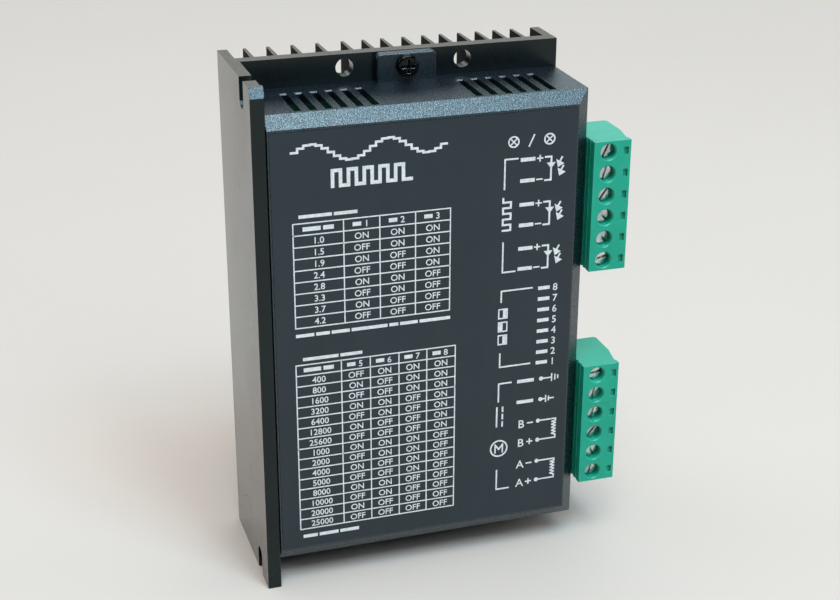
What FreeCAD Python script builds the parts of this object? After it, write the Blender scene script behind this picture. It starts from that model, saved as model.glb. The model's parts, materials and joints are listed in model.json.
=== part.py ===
import FreeCAD, Part
import math
import os

# Stepper driver module standing on its lower end, in millimetres.
# +X towards the terminal plugs, -Y towards the printed front, +Z up.
# Everything is drawn from the outer corner of the side leg (x = 0 on its outer face, y = 0 on its
# front edge) and moved at export so that the origin is the bottom centre of the whole driver.

# --- overall sizes -------------------------------------------------------------------------------
HEIGHT = 118.0            # length of the aluminium extrusion
WIDTH = 75.5              # leg's outer face to the plate's free edge
DEPTH = 33.0              # leg's front edge to the fin tips

# --- heatsink extrusion --------------------------------------------------------------------------
LEG_LIP_T, LEG_LIP_Y = 3.12, 2.2                                # thicker strip along the leg's front edge
LEG_T = 2.7               # side leg between that strip and the plate
LEG_REAR_T = 2.2          # side leg behind the plate, level with the fins
PLATE_Y, PLATE_T = 21.8, 3.2
PLATE_BACK = PLATE_Y + PLATE_T
FIN_X = (6.05, 11.3, 16.8, 22.45, 28.3, 33.1, 37.5, 42.5, 47.2, 51.4, 55.8, 60.1, 64.4, 68.7)
FIN_ROOT, FIN_TIP = 0.95, 0.65
END_FIN_T = 2.1
SLOT_Y, SLOT_R = 8.15, 2.0                                      # open mounting slots in the leg
SLOT_DEEP = 4.4                                                 # end of the leg to the arc's centre
LEG_BEVEL_Y, LEG_BEVEL_Z = 1.1, 2.2
LEG_ROUND = 0.35

# --- fixing holes, all on the same two levels ----------------------------------------------------
FIX_Z = (3.0, 115.0)
MID_X = 39.35             # middle of the cover's tabs and of the plate holes
PLATE_HOLE_DX, PLATE_HOLE_R = 13.6, 2.0
M3_R, M3_TAPPED_R, M3_CLEAR_R = 1.5, 1.55, 1.8
COVER_HEAD_R, COVER_HEAD_H = 2.55, 1.35

# --- moulded cover -------------------------------------------------------------------------------
COVER_X = (3.3, 75.1)
COVER_Z = (6.4, 111.6)
WALL = 1.8
CH_SIDE, CH_DEPTH = 2.8, 2.2                                    # bevel round the front
INNER_CH = 1.6
VENT_MID_X, VENT_HALF_GAP, VENT_PITCH, VENT_W = 39.0, 11.55, 3.35, 1.6
VENTS_PER_GROUP = 6
VENT_Y = (3.2, 16.7)
VENT_LEAD = 0.3           # bevel where a slot's rear end meets the outside
TAB_W, TAB_T, TAB_ROUND, TAB_END = 13.8, 2.2, 1.2, 0.1          # TAB_END: tab end to plate end
TAB_SOFT = 0.5            # rounding around the face of a tab
LABEL_X, LABEL_Z, LABEL_T = (3.7, 71.9), (9.8, 108.2), 0.2

# --- circuit board and what stands on it ---------------------------------------------------------
BOARD_X, BOARD_Z = (4.0, 72.9), (9.0, 109.0)
BOARD_Y, BOARD_T = 16.4, 1.6
BOARD_BACK = BOARD_Y + BOARD_T
STANDOFFS = ((9.0, 13.0), (9.0, 105.0), (58.0, 13.0), (58.0, 105.0))
STANDOFF_R = 2.75
BLIND_TAP = 2.4
PAD_X, PAD_Z, PAD_T = (14.0, 42.0), (24.0, 92.0), 1.9

# --- terminal blocks -----------------------------------------------------------------------------
PITCH = 5.08
SIGNAL_POLES, SIGNAL_TOP = 6, 97.5                              # number of poles, top pole's height
POWER_POLES, POWER_TOP = 2, 43.35
MOTOR_POLES, MOTOR_TOP = 4, POWER_TOP - 2 * PITCH
PLUG_GAP = 0.06                                                 # each end of a plug is short by this
PLUG_IN, PLUG_FRONT_X, PLUG_OUT = 67.3, 75.9, 85.3
PLUG_Y, PLUG_BACK = -0.8, 14.4
NOSE_Y = (5.6, 12.8)                                            # the part that enters the header
SCREW_X, SCREW_R, SCREW_HOLE_R, HOLE_CH = 79.35, 1.75, 1.85, 0.22
SHANK_R, SHANK_HOLE_R = 1.3, 1.4
HEAD_Y = (1.0, 2.2)
SHANK_END = 6.9
SCREW_SLOT_W, SCREW_SLOT_DEEP = 0.55, 0.7
PROBE_X, PROBE_HALF_X, PROBE_HALF_Z, PROBE_DEEP = 83.55, 0.6, 0.95, 0.7
CLAMP_X, CLAMP_Y, CLAMP_HALF_Z = (77.35, 81.35), (5.4, 11.4), 1.95
CLAMP_TOP_T, CLAMP_FOOT_T, CLAMP_SIDE_T = 1.2, 0.8, 0.45
CHAMBER_X, CHAMBER_Y, CHAMBER_HALF_Z = (77.2, 81.5), (2.7, 12.2), 2.05
WIRE_Y, WIRE_HALF_Z = (7.3, 11.1), 1.75
BAR_Y, BAR_HALF_Z = (7.0, 7.6), 1.2
SOCKET_X, SOCKET_END_Y, SOCKET_HALF_Z = (68.2, 74.6), 10.2, 1.3
PIN_Y, PIN_HALF, PIN_PLAY = 8.9, 0.5, 0.2
PIN_X, PIN_TIP_Y = (62.2, 73.4), 19.2
PIN_HOLE_R = 0.75
HEADER_X, HEADER_Y, HEADER_BACK = (64.9, 75.0), 4.4, 2.0
NOSE_PLAY = 0.15
NOTCH_PLAY = 0.35         # cover's notch round a header

# --- switch bank and status lamps ----------------------------------------------------------------
DIP_X, DIP_Y, DIP_Z = (66.8, 73.0), 6.5, (46.8, 68.5)
DIP_COUNT, DIP_PITCH = 8, 2.54
DIP_MID_Z = (DIP_Z[0] + DIP_Z[1]) / 2
DIP_SLOT_Y, DIP_SLOT_HALF_Z, DIP_SLOT_DEEP = (9.6, 13.4), 0.7, 1.6
SLIDER_L, SLIDER_HALF_Z, SLIDER_END, SLIDER_X = 1.6, 0.6, 0.1, (71.5, 73.9)
LAMP_Z, LAMP_R, LAMP_HOLDER_R = 103.9, 1.5, 1.55
POWER_LAMP_Y, ALARM_LAMP_Y = 7.4, 11.8
LAMP_X, LAMP_DOME_X = 68.0, 73.5
HOLDER_X, HOLDER_Y, HOLDER_HALF_Z = (66.2, 72.9), 4.8, 2.4

SHIFT = FreeCAD.Vector(-PLUG_OUT / 2, -(PLUG_Y + DEPTH) / 2, 0)


def box(xs, ys, zs):
    """A block given by its low and high limit on each axis."""
    return Part.makeBox(xs[1] - xs[0], ys[1] - ys[0], zs[1] - zs[0], FreeCAD.Vector(xs[0], ys[0], zs[0]))


def rod_y(x, z, r, ys):
    """A round bar along Y."""
    return Part.makeCylinder(r, ys[1] - ys[0], FreeCAD.Vector(x, ys[0], z), FreeCAD.Vector(0, 1, 0))


def rod_x(y, z, r, xs):
    """A round bar along X."""
    return Part.makeCylinder(r, xs[1] - xs[0], FreeCAD.Vector(xs[0], y, z), FreeCAD.Vector(1, 0, 0))


def prism_z(outline, zs):
    """An X-Y outline drawn up along Z."""
    points = [FreeCAD.Vector(x, y, zs[0]) for x, y in outline]
    face = Part.Face(Part.makePolygon(points + points[:1]))
    return face.extrude(FreeCAD.Vector(0, 0, zs[1] - zs[0]))


def prism_x(outline, xs):
    """A Y-Z outline drawn out along X."""
    points = [FreeCAD.Vector(xs[0], y, z) for y, z in outline]
    face = Part.Face(Part.makePolygon(points + points[:1]))
    return face.extrude(FreeCAD.Vector(xs[1] - xs[0], 0, 0))


def join(shapes):
    """One clean solid out of touching or overlapping ones."""
    return shapes[0].fuse(shapes[1:]).removeSplitter()


def around(value, half):
    return (value - half, value + half)


def edges_along(shape, axis, keep):
    """The straight edges along an axis whose midpoint passes the test."""
    found = []
    for edge in shape.Edges:
        a, b = edge.firstVertex().Point, edge.lastVertex().Point
        line = b - a
        straight = line.Length > 0.01 and abs(abs(line.dot(axis)) / line.Length - 1) < 1e-6
        if straight and keep((a + b) * 0.5):
            found.append(edge)
    return found


def save(node, shape):
    moved = shape.copy()
    moved.translate(SHIFT)
    moved.exportStep("parts/" + node + ".step")
    print(node, len(moved.Solids), moved.isValid(), round(moved.Volume, 1))


# --- heatsink ------------------------------------------------------------------------------------
def leg():
    """The flat side leg: front inner edge rounded, front top edge bevelled, a slot open at each end."""
    lip = box((0, LEG_LIP_T), (0, LEG_LIP_Y), (0, HEIGHT))
    upright = edges_along(lip, FreeCAD.Vector(0, 0, 1), lambda p: p.x > LEG_LIP_T - 0.01 and p.y < 0.01)
    lip = lip.makeFillet(LEG_ROUND, upright)
    middle = box((0, LEG_T), (LEG_LIP_Y, PLATE_BACK), (0, HEIGHT))
    rear = box((0, LEG_REAR_T), (PLATE_Y, DEPTH), (0, HEIGHT))
    bevel = prism_x(((0, HEIGHT - LEG_BEVEL_Z), (0, HEIGHT), (LEG_BEVEL_Y, HEIGHT)), (0, LEG_LIP_T))
    shape = join([lip, middle, rear]).cut(bevel)
    for z, end in ((SLOT_DEEP, 0), (HEIGHT - SLOT_DEEP, HEIGHT)):
        shape = shape.cut(rod_x(SLOT_Y, z, SLOT_R, (0, LEG_T)))
        shape = shape.cut(box((0, LEG_T), around(SLOT_Y, SLOT_R), (min(z, end), max(z, end))))
    return shape


def fins():
    """Thin tapered fins behind the plate, and the thicker one along its free edge."""
    shapes = [box((WIDTH - END_FIN_T, WIDTH), (PLATE_Y, DEPTH), (0, HEIGHT))]
    for x in FIN_X:
        shapes.append(prism_z(((x - FIN_ROOT / 2, PLATE_BACK - 0.1), (x + FIN_ROOT / 2, PLATE_BACK - 0.1),
                               (x + FIN_TIP / 2, DEPTH), (x - FIN_TIP / 2, DEPTH)), (0, HEIGHT)))
    return shapes


def heatsink():
    plate = box((0, WIDTH), (PLATE_Y, PLATE_BACK), (0, HEIGHT))
    for z in FIX_Z:
        for x in around(MID_X, PLATE_HOLE_DX):
            plate = plate.cut(rod_y(x, z, PLATE_HOLE_R, (PLATE_Y, PLATE_BACK)))
        plate = plate.cut(rod_y(MID_X, z, M3_TAPPED_R, (PLATE_Y, PLATE_BACK)))
    for x, z in STANDOFFS:
        plate = plate.cut(rod_y(x, z, M3_TAPPED_R, (PLATE_Y, PLATE_Y + BLIND_TAP)))
    return join([plate, leg()] + fins())


# --- cover ---------------------------------------------------------------------------------------
def bevelled_block(xs, ys, zs, side, depth):
    """A block whose front face is bevelled along its right, upper and lower edges."""
    shape = box(xs, ys, zs)
    x1, y0, (z0, z1) = xs[1], ys[0], zs
    shape = shape.cut(prism_z(((x1 - side, y0), (x1, y0), (x1, y0 + depth)), zs))
    shape = shape.cut(prism_x(((y0, z1 - side), (y0, z1), (y0 + depth, z1)), xs))
    return shape.cut(prism_x(((y0, z0 + side), (y0, z0), (y0 + depth, z0)), xs))


def tab(top):
    """A round-cornered ear that lies on the plate and takes one screw."""
    end = HEIGHT - TAB_END if top else TAB_END
    root = COVER_Z[1] - WALL if top else COVER_Z[0] + WALL
    shape = box(around(MID_X, TAB_W / 2), (PLATE_Y - TAB_T, PLATE_Y), (min(end, root), max(end, root)))
    corners = edges_along(shape, FreeCAD.Vector(0, 1, 0), lambda p: abs(p.z - end) < 0.01)
    shape = shape.makeFillet(TAB_ROUND, corners)
    face = PLATE_Y - TAB_T
    front = [edge for edge in shape.Edges
             if edge.BoundBox.YMax < face + 0.01 and abs(edge.CenterOfMass.z - root) > 0.01]
    shape = shape.makeFillet(TAB_SOFT, front)
    return shape.cut(rod_y(MID_X, FIX_Z[top], M3_CLEAR_R, (face, PLATE_Y)))


def vents(top):
    """Both groups of ventilation slots through one end wall."""
    cuts, face = [], COVER_Z[top]
    out = VENT_LEAD if top else -VENT_LEAD
    zs = (face - WALL - 0.5, face + 0.5) if top else (face - 0.5, face + WALL + 0.5)
    end = VENT_Y[1]
    lead = ((end - 0.1, face - out), (end, face - out), (end + VENT_LEAD, face), (end - 0.1, face))
    for side in (-1, 1):
        for i in range(VENTS_PER_GROUP):
            x = VENT_MID_X + side * (VENT_HALF_GAP + i * VENT_PITCH)
            cuts.append(box(around(x, VENT_W / 2), VENT_Y, zs))
            cuts.append(prism_x(lead, around(x, VENT_W / 2)))
    return cuts


def terminal_opening(top, poles):
    """The notch that the cover slides over a header with."""
    low, high = top - (poles - 0.5) * PITCH, top + 0.5 * PITCH
    zs = (low - NOTCH_PLAY, high + NOTCH_PLAY)
    return box((COVER_X[1] - WALL - 1, COVER_X[1] + 1), (HEADER_Y - NOTCH_PLAY, PLATE_Y + 1), zs)


def cover():
    shell = bevelled_block(COVER_X, (0, PLATE_Y), COVER_Z, CH_SIDE, CH_DEPTH)
    inside = bevelled_block((COVER_X[0] - 1, COVER_X[1] - WALL), (WALL, PLATE_Y + 1),
                            (COVER_Z[0] + WALL, COVER_Z[1] - WALL), INNER_CH, INNER_CH)
    shell = shell.cut(inside)
    wall = (COVER_X[1] - WALL - 0.5, COVER_X[1] + 0.5)
    cuts = vents(True) + vents(False)
    cuts.append(terminal_opening(SIGNAL_TOP, SIGNAL_POLES))
    cuts.append(terminal_opening(POWER_TOP, POWER_POLES + MOTOR_POLES))
    cuts.append(box(wall, (DIP_Y + 0.9, BOARD_Y - 0.9), (DIP_Z[0] + 0.6, DIP_Z[1] - 0.6)))
    cuts += [rod_x(y, LAMP_Z, LAMP_R + 0.3, wall) for y in (POWER_LAMP_Y, ALARM_LAMP_Y)]
    return join([shell.cut(cuts), tab(True), tab(False)])


def front_label():
    return box(LABEL_X, (-LABEL_T, 0), LABEL_Z)


# --- screws and spacers --------------------------------------------------------------------------
def pan_screw(x, z, y, head_r, head_h, length):
    """A pan-head screw with a cross recess; y is the underside of its head."""
    head = rod_y(x, z, head_r, (y - head_h, y))
    rim = [edge for edge in head.Edges if edge.BoundBox.YMax < y - head_h + 0.01]
    head = head.makeFillet(head_h * 0.45, rim)
    shape = join([head, rod_y(x, z, M3_R, (y - 0.1, y + length))])
    blade, deep, half = head_r * 0.62, head_h * 0.75, 0.38
    face, floor = y - head_h, y - head_h + deep
    arms = [prism_x(((face, z - blade), (face, z + blade), (floor, z + blade / 2), (floor, z - blade / 2)),
                    around(x, half)),
            prism_z(((x - blade, face), (x + blade, face), (x + blade / 2, floor), (x - blade / 2, floor)),
                    around(z, half))]
    return shape.cut(arms)


def cover_screws():
    under_head = PLATE_Y - TAB_T
    length = TAB_T + PLATE_T - 0.1
    screws = [pan_screw(MID_X, z, under_head, COVER_HEAD_R, COVER_HEAD_H, length) for z in FIX_Z]
    return Part.makeCompound(screws)


def board_screws():
    length = PLATE_Y + BLIND_TAP - 0.2 - BOARD_Y
    return Part.makeCompound([pan_screw(x, z, BOARD_Y, 2.7, 1.6, length) for x, z in STANDOFFS])


def board_standoffs():
    ys = (BOARD_BACK, PLATE_Y)
    tubes = [rod_y(x, z, STANDOFF_R, ys).cut(rod_y(x, z, M3_CLEAR_R, ys)) for x, z in STANDOFFS]
    return Part.makeCompound(tubes)


# --- circuit board -------------------------------------------------------------------------------
def pole_heights(top, poles):
    return [top - i * PITCH for i in range(poles)]


def all_pole_heights():
    return (pole_heights(SIGNAL_TOP, SIGNAL_POLES) + pole_heights(POWER_TOP, POWER_POLES)
            + pole_heights(MOTOR_TOP, MOTOR_POLES))


def circuit_board():
    ys = (BOARD_Y, BOARD_BACK)
    holes = [rod_y(x, z, M3_CLEAR_R, ys) for x, z in STANDOFFS]
    holes += [rod_y(PIN_X[0] + PIN_HALF, z, PIN_HOLE_R, ys) for z in all_pole_heights()]
    return box(BOARD_X, ys, BOARD_Z).cut(holes)


def on_board(x, z, size_x, size_z, tall):
    """A flat package standing on the board's front."""
    return box(around(x, size_x / 2), (BOARD_Y - tall, BOARD_Y), around(z, size_z / 2))


def driver_chips():
    return Part.makeCompound([on_board(24, z, 7.5, 12.8, 2.3) for z in (38, 56)])


def optocouplers():
    return Part.makeCompound([on_board(52, z, 6.5, 4.6, 3.6) for z in (75, 85, 95)])


def sense_resistors():
    return Part.makeCompound([on_board(38, z, 3.2, 6.4, 0.6) for z in (40, 52)])


def bulk_capacitors():
    """Two can capacitors with a pressed ring near the foot."""
    cans = []
    for z in (22, 38):
        can = rod_y(50, z, 6.25, (BOARD_Y - 13, BOARD_Y))
        ys = (BOARD_Y - 3, BOARD_Y - 2)
        groove = rod_y(50, z, 6.6, ys).cut(rod_y(50, z, 5.9, ys))
        cans.append(can.cut(groove))
    return Part.makeCompound(cans)


def power_mosfets():
    """Flat transistors on the back of the board, squeezed onto the thermal pad."""
    chips = [box(around(x, 3.3), (BOARD_BACK, PLATE_Y - PAD_T), around(z, 3.05))
             for x in (21, 35) for z in (34, 50, 66, 82)]
    return Part.makeCompound(chips)


def thermal_pad():
    return box(PAD_X, (PLATE_Y - PAD_T, PLATE_Y), PAD_Z)


# --- terminal headers and plugs ------------------------------------------------------------------
def header(top, poles):
    """A shrouded header, open towards the plug and at both ends."""
    zs = (top - (poles - 0.5) * PITCH + 0.1, top + 0.5 * PITCH - 0.1)
    shape = box(HEADER_X, (HEADER_Y, BOARD_Y), zs)
    mouth = (NOSE_Y[0] - NOSE_PLAY, NOSE_Y[1] + NOSE_PLAY)
    shape = shape.cut(box((HEADER_X[0] + HEADER_BACK, HEADER_X[1] + 1), mouth, (zs[0] - 1, zs[1] + 1)))
    back = (HEADER_X[0] - 1, HEADER_X[0] + HEADER_BACK + 1)
    pins = [box(back, around(PIN_Y, PIN_HALF), around(z, PIN_HALF))
            for z in pole_heights(top, poles)]
    return shape.cut(pins)


def header_pins():
    """Bent square pins: level in the headers, then back through the board."""
    pins = []
    for z in all_pole_heights():
        level = box(PIN_X, around(PIN_Y, PIN_HALF), around(z, PIN_HALF))
        tail = box((PIN_X[0], PIN_X[0] + 2 * PIN_HALF), (PIN_Y - PIN_HALF, PIN_TIP_Y), around(z, PIN_HALF))
        pins.append(join([level, tail]))
    return Part.makeCompound(pins)


def plug_outline():
    """The plug seen along the row of poles, with two grooves in the face next to the cover."""
    x0, groove = PLUG_FRONT_X, PLUG_FRONT_X + 0.3
    return ((x0, PLUG_Y), (84.7, PLUG_Y), (84.7, 0.5), (84.35, 1.1), (PLUG_OUT, 6.4), (PLUG_OUT, 13.9),
            (84.8, PLUG_BACK), (x0, PLUG_BACK), (x0, NOSE_Y[1]), (PLUG_IN, NOSE_Y[1]), (PLUG_IN, NOSE_Y[0]),
            (x0, NOSE_Y[0]), (x0, 3.4), (groove, 3.4), (groove, 2.7), (x0, 2.7), (x0, 1.5), (groove, 1.5),
            (groove, 0.9), (x0, 0.9))


def pole_cuts(z):
    """Everything hollow in one pole of a plug."""
    pin_y = around(PIN_Y, PIN_HALF + PIN_PLAY)
    pin_z = around(z, PIN_HALF + PIN_PLAY)
    mouth = Part.makeCone(SCREW_HOLE_R + HOLE_CH, SCREW_HOLE_R, HOLE_CH, FreeCAD.Vector(SCREW_X, PLUG_Y, z),
                          FreeCAD.Vector(0, 1, 0))
    return [
        mouth,
        rod_y(SCREW_X, z, SCREW_HOLE_R, (PLUG_Y - 1, HEAD_Y[1] + 0.1)),
        rod_y(SCREW_X, z, SHANK_HOLE_R, (HEAD_Y[1], CHAMBER_Y[0] + 0.1)),
        box(CHAMBER_X, CHAMBER_Y, around(z, CHAMBER_HALF_Z)),
        box((CHAMBER_X[1] - 0.1, PLUG_OUT + 1), WIRE_Y, around(z, WIRE_HALF_Z)),
        box((PLUG_OUT - 0.6, PLUG_OUT + 1), (WIRE_Y[0] - 0.4, WIRE_Y[1] + 0.4),
            around(z, WIRE_HALF_Z + 0.3)),
        box((SOCKET_X[0] - 0.2, CHAMBER_X[0] + 0.1), (BAR_Y[0], SOCKET_END_Y + 0.1),
            around(z, SOCKET_HALF_Z + 0.1)),
        box((PLUG_IN - 1, SOCKET_X[0]), pin_y, pin_z),
        box(around(PROBE_X, PROBE_HALF_X), (PLUG_Y - 1, PLUG_Y + PROBE_DEEP), around(z, PROBE_HALF_Z)),
    ]


def plug(top, poles):
    """The green housing of a pluggable terminal block."""
    low, high = top - (poles - 0.5) * PITCH, top + 0.5 * PITCH
    shape = prism_z(plug_outline(), (low + PLUG_GAP, high - PLUG_GAP))
    cuts = []
    for z in pole_heights(top, poles):
        cuts += pole_cuts(z)
    for z in pole_heights(top, poles)[:-1]:
        cuts.append(box((PLUG_OUT - 0.3, PLUG_OUT + 1), (6.0, PLUG_BACK + 1), around(z - PITCH / 2, 0.2)))
    return shape.cut(cuts)


def plug_contacts(top, poles):
    """Per pole: a flat bar under the screw and a square socket for the header pin."""
    contacts = []
    for z in pole_heights(top, poles):
        bar = box((SOCKET_X[0], CLAMP_X[1] - 0.1), BAR_Y, around(z, BAR_HALF_Z))
        socket = box(SOCKET_X, (BAR_Y[1], SOCKET_END_Y), around(z, SOCKET_HALF_Z))
        hole = box((SOCKET_X[0] - 1, SOCKET_X[1] + 1), around(PIN_Y, PIN_HALF + PIN_PLAY),
                   around(z, PIN_HALF + PIN_PLAY))
        contacts.append(join([bar, socket.cut(hole)]))
    return Part.makeCompound(contacts)


def terminal_screw(z, slot_angle):
    """A slotted clamping screw; slot_angle is measured from level, seen from the front."""
    head = rod_y(SCREW_X, z, SCREW_R, HEAD_Y)
    rim = [edge for edge in head.Edges if edge.BoundBox.YMax < HEAD_Y[0] + 0.01]
    head = head.makeChamfer(0.15, rim)
    shape = join([head, rod_y(SCREW_X, z, SHANK_R, (HEAD_Y[1] - 0.1, SHANK_END))])
    slot = box(around(SCREW_X, SCREW_R + 1), (HEAD_Y[0] - 1, HEAD_Y[0] + SCREW_SLOT_DEEP),
               around(z, SCREW_SLOT_W / 2))
    slot.rotate(FreeCAD.Vector(SCREW_X, 0, z), FreeCAD.Vector(0, 1, 0), -slot_angle)
    return shape.cut(slot)


def terminal_clamp(z):
    """The cage that the screw lifts: threaded top, two sides and a foot that grips the wire."""
    shape = box(CLAMP_X, CLAMP_Y, around(z, CLAMP_HALF_Z))
    inside = (CLAMP_Y[0] + CLAMP_TOP_T, CLAMP_Y[1] - CLAMP_FOOT_T)
    shape = shape.cut(box((CLAMP_X[0] - 1, CLAMP_X[1] + 1), inside, around(z, CLAMP_HALF_Z - CLAMP_SIDE_T)))
    return shape.cut(rod_y(SCREW_X, z, SHANK_R + 0.05, (CLAMP_Y[0] - 1, inside[0] + 0.1)))


# --- switches and lamps --------------------------------------------------------------------------
def switch_heights():
    """Slider heights, the first switch lowest."""
    return [DIP_MID_Z + (i - (DIP_COUNT - 1) / 2) * DIP_PITCH for i in range(DIP_COUNT)]


def dip_switch_body():
    shape = box(DIP_X, (DIP_Y, BOARD_Y), DIP_Z)
    slots = [box((DIP_X[1] - DIP_SLOT_DEEP, DIP_X[1] + 1), DIP_SLOT_Y, around(z, DIP_SLOT_HALF_Z))
             for z in switch_heights()]
    return shape.cut(slots)


def dip_slider(z):
    """One slider, resting in the off position."""
    end = DIP_SLOT_Y[1] - SLIDER_END
    return box(SLIDER_X, (end - SLIDER_L, end), around(z, SLIDER_HALF_Z))


def lamp(y):
    """A small round lamp with a domed tip."""
    body = rod_x(y, LAMP_Z, LAMP_R, (LAMP_X, LAMP_DOME_X))
    centre = FreeCAD.Vector(LAMP_DOME_X, y, LAMP_Z)
    dome = Part.makeSphere(LAMP_R, centre, FreeCAD.Vector(1, 0, 0), 0, 90, 360)
    return join([body, dome])


def lamp_holder():
    shape = box(HOLDER_X, (HOLDER_Y, BOARD_Y), around(LAMP_Z, HOLDER_HALF_Z))
    return shape.cut([rod_x(y, LAMP_Z, LAMP_HOLDER_R, (LAMP_X - 0.1, HOLDER_X[1]))
                      for y in (POWER_LAMP_Y, ALARM_LAMP_Y)])


def main():
    os.makedirs("parts", exist_ok=True)
    save("heatsink", heatsink())
    save("cover", cover())
    save("cover_screws", cover_screws())
    save("front_label", front_label())
    save("circuit_board", circuit_board())
    save("board_standoffs", board_standoffs())
    save("board_screws", board_screws())
    save("thermal_pad", thermal_pad())
    save("power_mosfets", power_mosfets())
    save("bulk_capacitors", bulk_capacitors())
    save("processor_chip", on_board(26, 80, 10, 10, 1.6))
    save("driver_chips", driver_chips())
    save("optocouplers", optocouplers())
    save("sense_resistors", sense_resistors())
    save("lamp_holder", lamp_holder())
    save("power_lamp", lamp(POWER_LAMP_Y))
    save("alarm_lamp", lamp(ALARM_LAMP_Y))
    save("dip_switch_body", dip_switch_body())
    for number, z in enumerate(switch_heights(), 1):
        save("dip_slider_%d" % number, dip_slider(z))
    save("signal_header", header(SIGNAL_TOP, SIGNAL_POLES))
    save("power_motor_header", header(POWER_TOP, POWER_POLES + MOTOR_POLES))
    save("header_pins", header_pins())

    slot_angles = {"signal": (65, 75, 55, 130, 130, 15), "power": (10, 80), "motor": (75, 50, 115, 80)}
    for name, top, poles in (("signal", SIGNAL_TOP, SIGNAL_POLES), ("power", POWER_TOP, POWER_POLES),
                             ("motor", MOTOR_TOP, MOTOR_POLES)):
        save(name + "_plug", plug(top, poles))
        save(name + "_contacts", plug_contacts(top, poles))
        for i, z in enumerate(pole_heights(top, poles)):
            save("%s_screw_%d" % (name, i + 1), terminal_screw(z, slot_angles[name][i]))
            save("%s_clamp_%d" % (name, i + 1), terminal_clamp(z))


main()
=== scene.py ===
import json
import math

import bpy
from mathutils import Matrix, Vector


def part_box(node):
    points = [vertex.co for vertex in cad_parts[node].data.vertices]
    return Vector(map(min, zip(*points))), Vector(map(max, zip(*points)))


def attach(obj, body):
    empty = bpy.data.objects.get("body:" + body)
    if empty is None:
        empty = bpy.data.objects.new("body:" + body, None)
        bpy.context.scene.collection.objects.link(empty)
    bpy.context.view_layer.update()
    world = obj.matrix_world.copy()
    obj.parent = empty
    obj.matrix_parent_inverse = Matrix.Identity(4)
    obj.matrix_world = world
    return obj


# Looks for the stepper driver: materials on the CAD nodes, the white print on its front film,
# a pale studio and the camera. Metres, row frame: +X to the plugs, -Y out of the front, +Z up.

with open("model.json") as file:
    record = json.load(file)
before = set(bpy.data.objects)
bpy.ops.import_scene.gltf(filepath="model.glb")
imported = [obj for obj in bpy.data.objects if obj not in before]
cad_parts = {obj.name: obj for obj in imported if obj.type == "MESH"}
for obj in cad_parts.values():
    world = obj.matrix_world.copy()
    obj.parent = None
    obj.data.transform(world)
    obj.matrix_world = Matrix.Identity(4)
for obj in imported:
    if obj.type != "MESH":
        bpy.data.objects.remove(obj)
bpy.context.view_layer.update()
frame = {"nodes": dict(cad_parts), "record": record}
nodes = frame["nodes"]
MM = 0.001

# The drawing frame used for the print: x from the leg's outer face, z from the lower end, in mm.
LEG_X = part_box("heatsink")[0][0]
FILM_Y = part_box("front_label")[0][1]
INK = 0.04 * MM           # how far the print stands off the film
FIN_DEPTH = 8.0 * MM
FIN_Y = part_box("heatsink")[1][1] - FIN_DEPTH      # the plate's back, where the fins begin


# --- shader building -----------------------------------------------------------------------------
EDGE_STARTS, EDGE_FULL = 0.97, 0.7    # cosine between the rounded and the true normal


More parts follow.
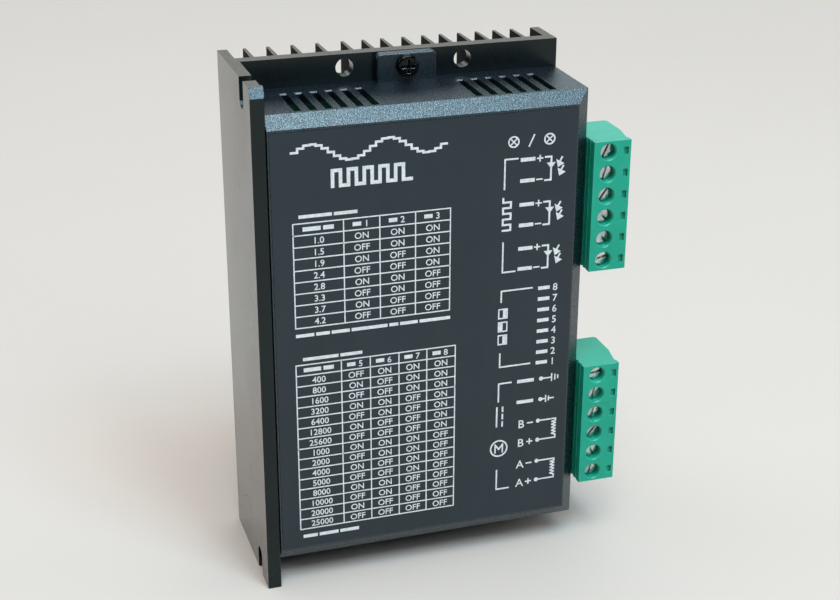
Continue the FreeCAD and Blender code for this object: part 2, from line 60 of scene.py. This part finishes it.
class Shader:
    """A material whose nodes are added one after another."""

    def __init__(self, name):
        self.material = bpy.data.materials.new(name)
        self.material.use_nodes = True
        self.tree = self.material.node_tree
        self.bsdf = next(n for n in self.tree.nodes if n.type == "BSDF_PRINCIPLED")
        self.coords = self.tree.nodes.new("ShaderNodeTexCoord").outputs["Object"]

    def add(self, kind, links=(), **values):
        """A node with its settings, its inputs linked to a socket or given a value."""
        node = self.tree.nodes.new(kind)
        for key, value in values.items():
            setattr(node, key, value)
        for socket, source in dict(links).items():
            if isinstance(source, bpy.types.NodeSocket):
                self.tree.links.new(source, node.inputs[socket])
            else:
                node.inputs[socket].default_value = source
        return node

    def stretched(self, scale, turn=(0, 0, 0)):
        """Object coordinates, scaled and turned, for lines that run one way."""
        links = {"Vector": self.coords, "Scale": scale, "Rotation": turn}
        return self.add("ShaderNodeMapping", links).outputs[0]

    def noise(self, scale, detail=3.0, rough=0.55, vector=None):
        links = {"Vector": vector or self.coords, "Scale": scale, "Detail": detail, "Roughness": rough}
        return self.add("ShaderNodeTexNoise", links).outputs["Fac"]

    def remap(self, value, low, high, to_low, to_high):
        links = {"Value": value, "From Min": low, "From Max": high, "To Min": to_low, "To Max": to_high}
        return self.add("ShaderNodeMapRange", links).outputs[0]

    def blend(self, fac, a, b):
        node = self.add("ShaderNodeMix", data_type="RGBA")
        for socket, source in ((0, fac), (6, a), (7, b)):
            if isinstance(source, bpy.types.NodeSocket):
                self.tree.links.new(source, node.inputs[socket])
            else:
                node.inputs[socket].default_value = source if socket == 0 else (*source[:3], 1)
        return node.outputs[2]

    def between(self, pattern, low, high, dark, light):
        """A colour that goes from dark to light as the pattern goes from low to high."""
        return self.blend(self.remap(pattern, low, high, 0.0, 1.0), dark, light)

    def edges(self, radius):
        """1 within the radius (mm) of an edge, 0 elsewhere, from how far a rounded normal leans."""
        soft = self.add("ShaderNodeBevel", {"Radius": radius * MM}, samples=4).outputs[0]
        flat = self.add("ShaderNodeNewGeometry").outputs["Normal"]
        dot = self.add("ShaderNodeVectorMath", {0: soft, 1: flat}, operation="DOT_PRODUCT")
        same = dot.outputs["Value"]
        return self.remap(same, EDGE_STARTS, EDGE_FULL, 0.0, 1.0)

    def cut_ends(self):
        """1 on the faces across the length, 0 on all others."""
        normal = self.add("ShaderNodeTexCoord").outputs["Normal"]
        up = self.add("ShaderNodeSeparateXYZ", {0: normal}).outputs["Z"]
        size = self.add("ShaderNodeMath", {0: up}, operation="ABSOLUTE").outputs[0]
        return self.remap(size, 0.9, 0.95, 0.0, 1.0)

    def front_bevel(self):
        """1 on faces that lean back from the front to the top, 0 on all others."""
        normal = self.add("ShaderNodeTexCoord").outputs["Normal"]
        parts = self.add("ShaderNodeSeparateXYZ", {0: normal}).outputs
        up = self.remap(parts["Z"], 0.35, 0.4, 0.0, 1.0)
        ahead = self.remap(parts["Y"], -0.8, -0.85, 0.0, 1.0)
        return self.add("ShaderNodeMath", {0: up, 1: ahead}, operation="MULTIPLY").outputs[0]

    def between_fins(self):
        """1 behind the plate and inside the leg, where the fins shade each other."""
        place = self.add("ShaderNodeSeparateXYZ", {0: self.coords})
        behind = self.remap(place.outputs["Y"], FIN_Y, FIN_Y + 0.4 * MM, 0.0, 1.0)
        inside = self.remap(place.outputs["X"], LEG_X + 0.5 * MM, LEG_X + 0.9 * MM, 0.0, 1.0)
        return self.add("ShaderNodeMath", {0: behind, 1: inside}, operation="MULTIPLY").outputs[0]

    def bump(self, height, distance, strength, normal=None):
        """A normal tilted by the height pattern, on top of another normal if one is given."""
        links = {"Height": height, "Distance": distance, "Strength": strength}
        if normal is not None:
            links["Normal"] = normal
        return self.add("ShaderNodeBump", links).outputs[0]

    def set(self, **sockets):
        """Fill the shader's sockets, with _ for a space in their names, and give the material."""
        for key, source in sockets.items():
            socket = self.bsdf.inputs[key.replace("_", " ")]
            if isinstance(source, bpy.types.NodeSocket):
                self.tree.links.new(source, socket)
            elif isinstance(source, (tuple, list)):
                socket.default_value = (*source[:3], 1)
            else:
                socket.default_value = source
        return self.material


def plastic(name, dark, light, rough, grain, grain_depth, patch=60.0, gloss=0.5, painted_highlight=None):
    """Moulded plastic: cloudy colour, grainy surface and, if given, a painted highlight on the edges,
    broken up by noise.
    """
    s = Shader(name)
    cloud = s.noise(patch, 4.0)
    colour = s.between(cloud, 0.3, 0.7, dark, light)
    if painted_highlight:
        # painted highlight: a lighter colour within 0.2 mm of the edges, made patchy by noise
        painted_edge_light = s.add("ShaderNodeMath", {0: s.edges(0.2), 1: s.remap(s.noise(900.0), 0.4, 0.6, 0.2, 1.0)},
                     operation="MULTIPLY").outputs[0]
        colour = s.blend(painted_edge_light, colour, painted_highlight)
    fine = s.noise(grain, 2.0)
    broad = s.noise(patch * 4, 3.0)
    normal = s.bump(fine, grain_depth * MM, 0.9, s.bump(broad, 0.05 * MM, 0.25))
    return s.set(Base_Color=colour, Roughness=s.remap(broad, 0.3, 0.7, rough - 0.06, rough + 0.06),
                 Specular_IOR_Level=gloss, Normal=normal)


def metal(name, dark, light, rough, brushed=(1.0, 1.0, 1.0), line_scale=900.0, line_depth=0.01,
          dent_depth=0.05, stain=None, painted_rim_glint=None):
    """Plated or machined metal: brushed lines, patchy roughness, an optional stain and an optional
    painted glint on the edges.
    """
    s = Shader(name)
    cloud = s.noise(220.0, 4.0)
    colour = s.between(cloud, 0.35, 0.65, dark, light)
    if stain:
        colour = s.blend(s.remap(s.noise(700.0, 5.0), 0.55, 0.7, 0.0, 0.5), colour, stain)
    # painted glint: a bright colour within 0.12 mm of the edges
    if painted_rim_glint:
        colour = s.blend(s.edges(0.12), colour, painted_rim_glint)
    lines = s.noise(line_scale, 2.0, vector=s.stretched(brushed))
    rounded = None
    if painted_rim_glint:
        rounded = s.add("ShaderNodeBevel", {"Radius": 0.25 * MM}, samples=6).outputs[0]
    dents = s.bump(s.noise(480.0, 2.0), dent_depth * MM, 1.0, rounded)
    return s.set(Base_Color=colour, Metallic=1.0,
                 Roughness=s.remap(cloud, 0.3, 0.7, rough - 0.08, rough + 0.1),
                 Normal=s.bump(lines, line_depth * MM, 0.6, dents))


def anodised():
    """Black anodised extrusion: clear film over black, die lines along it, greyer sawn ends, a painted
    highlight on the edges and a painted blue reflection on the filed front bevel.
    """
    s = Shader("anodised_black")
    lines = s.noise(1800.0, 3.0, vector=s.stretched((1.0, 1.0, 0.012)))
    speck = s.noise(5200.0, 2.0)
    patch = s.noise(45.0, 4.0)
    colour = s.between(patch, 0.3, 0.7, (0.0031, 0.0062, 0.0078), (0.0057, 0.0115, 0.0138))
    # painted highlight: a lighter grey within 0.15 mm of the edges
    painted_edge_light = (0.05, 0.055, 0.06)
    colour = s.blend(s.edges(0.15), colour, painted_edge_light)
    cut = s.cut_ends()
    sawn = s.between(s.noise(2600.0, 4.0), 0.35, 0.65, (0.085, 0.078, 0.07), (0.165, 0.152, 0.138))
    colour = s.blend(cut, colour, sawn)
    # the front bevel is lighter as bare filed metal; its blue speckled colour is a painted reflection of
    # the blue sky light
    painted_bevel_glint = s.between(s.noise(4000.0, 2.0), 0.36, 0.64, (0.03, 0.065, 0.09), (0.17, 0.25, 0.31))
    colour = s.blend(s.front_bevel(), colour, painted_bevel_glint)
    bare = s.add("ShaderNodeMath", {0: s.between_fins(), 1: cut}, operation="MAXIMUM").outputs[0]
    rough = s.blend(bare, s.remap(patch, 0.3, 0.7, 0.2, 0.3), (0.8, 0.8, 0.8))
    clear = s.remap(bare, 0.0, 1.0, 1.0, 0.0)
    normal = s.bump(speck, 0.02 * MM, 0.35, s.bump(lines, 0.012 * MM, 0.35))
    return s.set(Base_Color=colour, Metallic=0.0, Roughness=rough, IOR=1.29,
                 Specular_Tint=(1.0, 1.0, 0.86), Coat_Weight=clear, Coat_IOR=1.16, Coat_Roughness=0.2,
                 Normal=normal)


def moulded_cover():
    """Spark-textured black moulding: coarse sparkling grain under a slight gloss."""
    s = Shader("cover_black")
    grain = s.noise(3700.0, 2.0, 0.6)
    coarse = s.noise(1300.0, 3.0)
    patch = s.noise(50.0, 3.0)
    colour = s.between(grain, 0.35, 0.7, (0.0006, 0.0022, 0.0045), (0.003, 0.0085, 0.0145))
    colour = s.blend(s.remap(patch, 0.35, 0.65, 0.0, 0.4), colour, (0.0025, 0.0065, 0.011))
    normal = s.bump(grain, 0.11 * MM, 0.9, s.bump(coarse, 0.03 * MM, 0.3))
    return s.set(Base_Color=colour, Roughness=s.remap(grain, 0.42, 0.57, 0.44, 0.1),
                 Specular_IOR_Level=1.0, Specular_Tint=(0.75, 0.92, 1.0), Normal=normal)


def film():
    """Matt polyester film: faint mottling, a very fine orange-peel and a few hairline rubs."""
    s = Shader("label_film")
    patch = s.noise(38.0, 5.0)
    peel = s.noise(2600.0, 2.0)
    rub = s.noise(260.0, 6.0, 0.7, s.stretched((1.0, 1.0, 0.06), (0, 0.5, 0)))
    colour = s.between(patch, 0.3, 0.7, (0.003, 0.0125, 0.0195), (0.006, 0.0175, 0.027))
    rough = s.remap(rub, 0.35, 0.75, 0.4, 0.54)
    return s.set(Base_Color=colour, Roughness=rough, Specular_IOR_Level=0.55,
                 Normal=s.bump(peel, 0.012 * MM, 0.5))


def ink():
    """White screen print: slightly uneven cover, chalky."""
    s = Shader("print_white")
    patch = s.noise(1500.0, 4.0)
    colour = s.between(patch, 0.35, 0.65, (0.6, 0.63, 0.65), (0.76, 0.78, 0.79))
    return s.set(Base_Color=colour, Roughness=s.remap(patch, 0.3, 0.7, 0.5, 0.65),
                 Normal=s.bump(patch, 0.01 * MM, 0.4))


def board():
    """Green resist over copper tracks, with the weave of the laminate."""
    s = Shader("board_green")
    tracks = s.add("ShaderNodeTexVoronoi", {"Vector": s.coords, "Scale": 330.0}, distance="MANHATTAN",
                   feature="F1").outputs["Distance"]
    on_track = s.remap(tracks, 0.42, 0.46, 0.0, 1.0)
    weave = s.noise(2400.0, 1.0, vector=s.stretched((1.0, 1.0, 0.3)))
    colour = s.blend(on_track, (0.012, 0.13, 0.06), (0.02, 0.22, 0.1))
    return s.set(Base_Color=colour, Roughness=s.remap(weave, 0.3, 0.7, 0.28, 0.4),
                 Normal=s.bump(on_track, 0.04 * MM, 0.6, s.bump(weave, 0.01 * MM, 0.3)))


def resin(name, tint):
    """Tinted lamp resin, cloudy inside."""
    s = Shader(name)
    haze = s.noise(800.0, 3.0)
    colour = s.between(haze, 0.3, 0.7, tint, tuple(min(1.0, c * 1.5 + 0.02) for c in tint))
    return s.set(Base_Color=colour, Roughness=s.remap(haze, 0.3, 0.7, 0.1, 0.2),
                 Transmission_Weight=0.35, IOR=1.5, Normal=s.bump(haze, 0.01 * MM, 0.2))


LOOKS = {
    "anodised_black": anodised(),
    "cover_black": moulded_cover(),
    # the black screws get a painted glint on their edges
    "screw_black": metal("screw_black", (0.012, 0.012, 0.013), (0.03, 0.03, 0.033), 0.1, line_depth=0.01,
                         dent_depth=0.15, painted_rim_glint=(0.6, 0.6, 0.62)),
    "label_film": film(),
    "board_green": board(),
    "standoff_nickel": metal("standoff_nickel", (0.5, 0.48, 0.43), (0.66, 0.63, 0.58), 0.3),
    "steel_zinc": metal("steel_zinc", (0.38, 0.42, 0.42), (0.7, 0.74, 0.73), 0.15,
                        brushed=(1.0, 0.2, 1.0), line_scale=2600.0, line_depth=0.012, dent_depth=0.22,
                        stain=(0.42, 0.43, 0.4)),
    "pad_grey": plastic("pad_grey", (0.3, 0.34, 0.38), (0.4, 0.44, 0.48), 0.8, 2500.0, 0.03),
    "chip_black": plastic("chip_black", (0.012, 0.012, 0.014), (0.022, 0.022, 0.024), 0.6, 3500.0, 0.02),
    "capacitor_sleeve": plastic("capacitor_sleeve", (0.01, 0.01, 0.02), (0.02, 0.02, 0.035), 0.3, 1200.0,
                                0.01),
    "opto_white": plastic("opto_white", (0.62, 0.62, 0.58), (0.75, 0.75, 0.7), 0.5, 3000.0, 0.015),
    "holder_black": plastic("holder_black", (0.012, 0.012, 0.012), (0.02, 0.02, 0.02), 0.5, 3000.0, 0.02),
    "lamp_green": resin("lamp_green", (0.05, 0.42, 0.08)),
    "lamp_red": resin("lamp_red", (0.55, 0.03, 0.02)),
    "switch_body": plastic("switch_body", (0.01, 0.02, 0.05), (0.016, 0.03, 0.075), 0.42, 3000.0, 0.02),
    "slider_white": plastic("slider_white", (0.7, 0.7, 0.66), (0.82, 0.82, 0.79), 0.4, 2600.0, 0.01),
    # the plugs get a painted highlight on their edges
    "plug_green": plastic("plug_green", (0.002, 0.3, 0.192), (0.007, 0.362, 0.243), 0.36, 2600.0, 0.014,
                          patch=90.0, gloss=0.33, painted_highlight=(0.2, 0.58, 0.45)),
    "contact_tin": metal("contact_tin", (0.6, 0.59, 0.55), (0.76, 0.75, 0.72), 0.28),
    "clamp_plated": metal("clamp_plated", (0.5, 0.5, 0.5), (0.68, 0.68, 0.68), 0.32),
}

for part in frame["record"]["subparts"]:
    mesh = nodes[part["node"]].data
    mesh.materials.clear()
    mesh.materials.append(LOOKS[part["material_slot"]])


# --- the white print -----------------------------------------------------------------------------
DEPTHS, DEPTH_STEP = 9, 0.06    # neighbouring shapes stand off the film by slightly different amounts


class Print:
    """Thin raised shapes on the front film, drawn in mm from the leg (x) and the lower end (z)."""

    def __init__(self):
        self.verts, self.faces, self.plates = [], [], 0

    def put(self, x, z, depth):
        """A corner, its depth counted in thicknesses of the print."""
        self.verts.append((LEG_X + x * MM, FILM_Y - depth * INK, z * MM))

    def plate(self, outline):
        """A flat shape with the given corners, at a depth that its neighbours do not share."""
        first, count = len(self.verts), len(outline)
        self.plates += 1
        for depth in (1 + self.plates % DEPTHS * DEPTH_STEP, 0):
            for x, z in outline:
                self.put(x, z, depth)
        self.faces.append([first + i for i in range(count)])
        self.faces.append([first + count + i for i in reversed(range(count))])
        for i in range(count):
            j = (i + 1) % count
            self.faces.append([first + i, first + count + i, first + count + j, first + j])

    def bar(self, x0, x1, z0, z1):
        self.plate(((x0, z0), (x1, z0), (x1, z1), (x0, z1)))

    def stroke(self, points, width):
        """A line of the given width through the points."""
        for (x0, z0), (x1, z1) in zip(points, points[1:]):
            length = math.hypot(x1 - x0, z1 - z0)
            ux, uz = (x1 - x0) / length * width / 2, (z1 - z0) / length * width / 2
            self.plate(((x0 - ux + uz, z0 - uz - ux), (x1 + ux + uz, z1 + uz - ux),
                        (x1 + ux - uz, z1 + uz + ux), (x0 - ux - uz, z0 - uz + ux)))

    def arc(self, x, z, r, start, end, width, steps=12):
        turns = [math.radians(start + (end - start) * i / steps) for i in range(steps + 1)]
        self.stroke([(x + r * math.cos(t), z + r * math.sin(t)) for t in turns], width)

    def dot(self, x, z, r):
        turns = [math.tau * i / 16 for i in range(16)]
        self.plate([(x + r * math.cos(t), z + r * math.sin(t)) for t in turns])

    def words(self, x0, x1, z, height, lengths):
        """A line of unreadable print: a bar for each word, filling x0 to x1."""
        gap = height * 0.55
        scale = (x1 - x0 - gap * (len(lengths) - 1)) / sum(lengths)
        for length in lengths:
            self.bar(x0, x0 + length * scale, z - height / 2, z + height / 2)
            x0 += length * scale + gap

    def text(self, body, x, z, size):
        """Numerals or ON and OFF, centred."""
        verts, polygons = glyphs(body)
        first = len(self.verts)
        for u, v, w in verts:
            self.put(x + u * size, z + v * size, w)
        self.faces.extend([[first + i for i in polygon] for polygon in polygons])

    def finish(self, name):
        mesh = bpy.data.meshes.new(name)
        mesh.from_pydata(self.verts, [], self.faces)
        mesh.validate()
        mesh.materials.append(INK_LOOK)
        made = bpy.data.objects.new(name, mesh)
        bpy.context.scene.collection.objects.link(made)
        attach(made, "driver")


FONT_SIZE = 1.37          # makes a capital one unit tall
FONT_FATTEN = 0.012       # widens the strokes, in the same unit
GLYPHS = {}


def glyphs(body):
    """Points (across, up, 1 at the front or 0 at the back) and faces of a word one unit tall."""
    if body not in GLYPHS:
        curve = bpy.data.curves.new("word", "FONT")
        curve.body, curve.size = body, FONT_SIZE
        curve.extrude, curve.offset = 0.5, FONT_FATTEN
        curve.align_x, curve.resolution_u = "CENTER", 3
        word = bpy.data.objects.new("word", curve)
        bpy.context.scene.collection.objects.link(word)
        bpy.context.view_layer.update()
        solid = word.evaluated_get(bpy.context.evaluated_depsgraph_get()).to_mesh()
        verts = [(v.co.x, v.co.y - 0.5, v.co.z + 0.5) for v in solid.vertices]
        GLYPHS[body] = verts, [list(p.vertices) for p in solid.polygons]
        bpy.data.objects.remove(word)
        bpy.data.curves.remove(curve)
    return GLYPHS[body]


INK_LOOK = ink()
RULE = 0.26               # line width of the tables
CELL_TEXT = 1.5           # height of the letters in the tables
DASH = 0.42               # half the height of the bar that stands for a terminal's name
DOT_R = 0.52              # terminal dot
BRACKET_LINE = 0.36
SIGN_LINE = 0.32          # line width of plus, minus and the supply signs


def switch_table(out, marks, columns, z_top, z_low, names, labels, first_code):
    """A ruled table: one row per code, with ON or OFF for each switch."""
    rows = len(labels) + 1
    step = (z_top - z_low) / rows
    for i in range(rows + 1):
        z = z_top - i * step
        out.bar(columns[0] - RULE / 2, columns[-1] + RULE / 2, z - RULE / 2, z + RULE / 2)
    for x in columns:
        out.bar(x - RULE / 2, x + RULE / 2, z_low, z_top)
    middles = [(a + b) / 2 for a, b in zip(columns, columns[1:])]
    header = z_top - step / 2
    out.words(middles[0] - 3.4, middles[0] + 3.4, header, 0.95, (5, 3))
    for x, name in zip(middles[1:], names):
        out.bar(x - 2.0, x - 0.1, header - 0.45, header + 0.45)
        marks.text(name, x + 1.1, header, CELL_TEXT)
    for row, label in enumerate(labels):
        z = header - (row + 1) * step
        marks.text(label, middles[0], z, CELL_TEXT)
        for i, x in enumerate(middles[1:]):
            marks.text("OFF" if (row + first_code) >> i & 1 else "ON", x, z, CELL_TEXT)


def title(out):
    """A stepped sine wave over a train of pulses, standing in for the name."""
    middle, tall, x0, x1, steps = 103.3, 2.0, 8.2, 42.0, 26
    wide = (x1 - x0) / steps
    points = []
    for i in range(steps):
        level = middle + math.sin(math.tau * 2 * (i + 0.5) / steps) * tall
        points += [(x0 + i * wide, level), (x0 + (i + 1) * wide, level)]
    out.stroke(points, 0.5)
    x, low, high, wide, points = 16.9, 95.8, 99.2, 1.72, []
    for i in range(5):
        points += [(x, low), (x, high), (x + wide, high), (x + wide, low)]
        x += 2 * wide
    out.stroke(points + [(x, low)], 0.78)


def lamp_sign(out, x, z):
    """A ring with a cross in it."""
    out.arc(x, z, 1.15, 0, 360, SIGN_LINE, 24)
    for dx in (-0.8, 0.8):
        out.stroke(((x - dx, z - 0.8), (x + dx, z + 0.8)), 0.28)


def sign(out, x, z, plus):
    """Plus or minus."""
    out.stroke(((x - 0.6, z), (x + 0.6, z)), SIGN_LINE)
    if plus:
        out.stroke(((x, z - 0.6), (x, z + 0.6)), SIGN_LINE)


def opto_sign(out, z_top, z_low):
    """A diode between two terminals, with two arrows of light."""
    x, z = 66.05, z_top - 2.0
    out.stroke(((64.7, z_top), (x, z_top), (x, z_low), (64.7, z_low)), 0.42)
    out.plate(((x - 1.05, z + 0.65), (x + 1.05, z + 0.65), (x, z - 0.75)))
    for dx, dz in ((0.0, 0.0), (0.35, -2.0)):
        out.stroke(((x + 2.5 + dx, z + 1.6 + dz), (x + 2.0 + dx, z + 0.7 + dz)), 0.4)
        out.plate(((x + 1.15 + dx, z + 1.3 + dz), (x + 3.1 + dx, z + 0.2 + dz),
                   (x + 1.6 + dx, z - 0.6 + dz)))


def supply_signs(out, z_earth, z_cell):
    """Earth at the upper terminal, a battery cell at the lower one."""
    out.stroke(((65.5, z_earth), (68.1, z_earth)), SIGN_LINE)
    for x, half in ((68.1, 0.85), (68.9, 0.55), (69.6, 0.3)):
        out.stroke(((x, z_earth - half), (x, z_earth + half)), SIGN_LINE)
    out.stroke(((65.5, z_cell), (66.7, z_cell)), SIGN_LINE)
    for x, half in ((66.8, 0.75), (67.5, 0.45)):
        out.stroke(((x, z_cell - half), (x, z_cell + half)), SIGN_LINE)
    out.stroke(((67.5, z_cell), (68.7, z_cell)), SIGN_LINE)


def coil_sign(out, z_top, z_low):
    """A winding between two terminals."""
    x, turns = 69.0, 10
    points = [(65.1, z_top), (x + 0.5, z_top), (x + 0.5, z_top - 0.5)]
    for i in range(turns):
        side = x - 0.35 if i % 2 == 0 else x + 0.5
        points.append((side, z_top - 0.75 - (z_top - z_low - 1.5) * i / (turns - 1)))
    out.stroke(points + [(x + 0.5, z_low + 0.5), (x + 0.5, z_low), (65.1, z_low)], 0.34)
    for z in (z_top, z_low):
        out.dot(65.1, z, DOT_R)


def group_signs(out):
    """What each bracket holds: pulses in, switches, direct current in and a motor out."""
    points = []
    for i in range(3):
        z = 81.6 + i * 2.6
        points += [(55.1, z), (56.9, z), (56.9, z + 1.3), (55.1, z + 1.3)]
    out.stroke(points + [(55.1, 89.0)], 0.45)
    for i in range(3):
        z = 54.2 + i * 3.2
        out.stroke(((54.7, z), (56.7, z), (56.7, z + 2.2), (54.7, z + 2.2), (54.7, z)), 0.3)
        side = 54.9 if i == 1 else 55.7
        out.bar(side, side + 0.8, z + 0.2, z + 2.0)
    out.bar(54.6, 55.0, 33.2, 38.4)
    for i in range(3):
        out.bar(56.0, 56.4, 33.2 + i * 1.9, 34.6 + i * 1.9)
    out.arc(55.5, 27.6, 2.0, 0, 360, 0.36, 32)
    out.stroke(((54.6, 26.6), (54.6, 28.6), (55.5, 27.4), (56.4, 28.6), (56.4, 26.6)), 0.36)


def bracket(out, top, low, x, ends):
    """The line that gathers a group of terminals, broken in the middle for its sign."""
    out.stroke(((x[1], top), (x[0], top), (x[0], ends[0])), BRACKET_LINE)
    out.stroke(((x[0], ends[1]), (x[0], low), (x[1], low)), BRACKET_LINE)


def print_front():
    """Everything printed on the film."""
    rules, marks, symbols = Print(), Print(), Print()
    title(symbols)

    rules.words(9.4, 22.2, 89.7, 0.75, (7, 5))
    amps = ["%.1f" % (1 + 3.2 * i / 7) for i in range(8)]
    switch_table(rules, marks, (8.1, 19.1, 27.1, 35.1, 43.0), 88.2, 64.3, "123", amps, 0)
    rules.words(8.1, 43.2, 62.5, 0.75, (4, 3, 4, 8, 2, 4, 7))

    rules.words(9.5, 22.9, 56.8, 0.75, (8, 5))
    steps = [400 << i for i in range(7)] + [1000, 2000, 4000, 5000, 8000, 10000, 20000, 25000]
    columns = (7.9, 18.1, 24.7, 31.3, 37.8, 44.5)
    switch_table(rules, marks, columns, 55.5, 14.4, "5678", [str(s) for s in steps], 1)
    rules.words(8.5, 21.6, 12.5, 0.8, (3, 4, 4))

    lamp_sign(symbols, 57.2, 101.7)
    symbols.stroke(((60.8, 100.5), (61.9, 102.9)), 0.34)
    lamp_sign(symbols, 65.5, 101.7)
    group_signs(symbols)

    for z_top in (97.4, 87.1, 76.8):
        for z, plus in ((z_top + 0.1, True), (z_top - 4.7, False)):
            rules.bar(58.9, 62.3, z - DASH, z + DASH)
            sign(symbols, 63.4, z, plus)
        opto_sign(symbols, z_top + 0.25, z_top - 5.05)
    bracket(rules, 97.9, 71.7, (55.3, 58.2), (91.2, 78.7))

    for i in range(8):
        z = 66.85 - i * 2.637
        rules.bar(64.0, 66.8, z - DASH, z + DASH)
        marks.text(str(8 - i), 68.1, z, 1.75)
    bracket(rules, 67.2, 48.5, (55.2, 62.5), (64.6, 51.8))

    bracket(rules, 44.3, 16.8, (55.1, 58.1), (39.8, 21.8))
    for z in (44.2, 38.9):
        rules.bar(59.6, 63.7, z - DASH, z + DASH)
        symbols.dot(65.5, z, DOT_R)
    supply_signs(symbols, 44.2, 38.9)
    for letter, z_top in (("B", 33.2), ("A", 22.6)):
        for z, plus in ((z_top, False), (z_top - 4.9, True)):
            marks.text(letter, 60.9, z, 2.1)
            sign(symbols, 63.1, z, plus)
        coil_sign(symbols, z_top + 0.2, z_top - 4.8)

    rules.finish("print_rules")
    marks.finish("print_marks")
    symbols.finish("print_symbols")


print_front()


# --- studio --------------------------------------------------------------------------------------
def floor():
    """A plain pale floor with a faint cloudiness."""
    s = Shader("floor_pale")
    cloud = s.noise(4.0, 3.0)
    s.set(Base_Color=s.blend(cloud, (0.54, 0.488, 0.452), (0.575, 0.523, 0.487)), Roughness=0.7)
    mesh = bpy.data.meshes.new("floor")
    side = 4.0
    corners = [(-side, -side, 0), (side, -side, 0), (side, side, 0), (-side, side, 0)]
    mesh.from_pydata(corners, [], [(0, 1, 2, 3)])
    mesh.materials.append(s.material)
    made = bpy.data.objects.new("floor", mesh)
    bpy.context.scene.collection.objects.link(made)


def soft_light(name, place, target, size, watts, colour):
    """A rectangular lamp, unseen by the camera, turned to its target."""
    light = bpy.data.lights.new(name, "AREA")
    light.shape, light.size, light.size_y = "RECTANGLE", size[0], size[1]
    light.energy, light.color = watts, colour
    made = bpy.data.objects.new(name, light)
    made.location = place
    made.rotation_euler = (Vector(target) - Vector(place)).to_track_quat("-Z", "Y").to_euler()
    made.visible_camera = False
    bpy.context.scene.collection.objects.link(made)


def studio():
    """Pale floor, faint even sky and large soft lights."""
    floor()
    world = bpy.data.worlds.new("studio")
    world.use_nodes = True
    sky = world.node_tree.nodes["Background"]
    sky.inputs["Color"].default_value = (0.86, 0.94, 1.0, 1)
    sky.inputs["Strength"].default_value = 0.06
    bpy.context.scene.world = world
    middle = (0, 0, 0.06)
    soft_light("key", (-0.1, -0.95, 1.85), middle, (1.1, 1.0), 30.0, (0.97, 0.98, 0.96))
    soft_light("sky", (0.42, -0.87, 1.56), middle, (0.55, 0.55), 10.0, (0.35, 0.76, 1.0))
    soft_light("window", (0.36, -0.84, 0.82), middle, (0.5, 0.5), 3.2, (0.8, 0.9, 1.0))
    soft_light("ceiling", (0.0, 0.3, 2.2), (0.0, 0.3, 0.0), (2.6, 2.6), 31.0, (1.0, 0.97, 0.925))
    soft_light("right", (1.3, -0.15, 0.5), middle, (0.7, 0.7), 3.2, (1.0, 0.99, 0.98))
    soft_light("left", (-1.1, 0.5, 0.7), middle, (0.9, 0.5), 3.9, (0.88, 0.96, 1.0))
    soft_light("back", (0.45, 1.35, 0.68), middle, (1.7, 0.8), 5.8, (0.84, 0.96, 1.0))
    bpy.context.scene.view_settings.view_transform = "Standard"


def camera():
    """The viewing angle: from the left of the front, looking down."""
    data = bpy.data.cameras.new("camera")
    data.sensor_width, data.lens = 36.0, 68.264
    data.clip_start, data.clip_end = 0.01, 20.0
    made = bpy.data.objects.new("camera", data)
    made.location = (-0.10506, -0.32231, 0.20399)
    made.rotation_euler = [math.radians(turn) for turn in (67.002, -0.187, -17.776)]
    bpy.context.scene.collection.objects.link(made)
    bpy.context.scene.camera = made


studio()
camera()
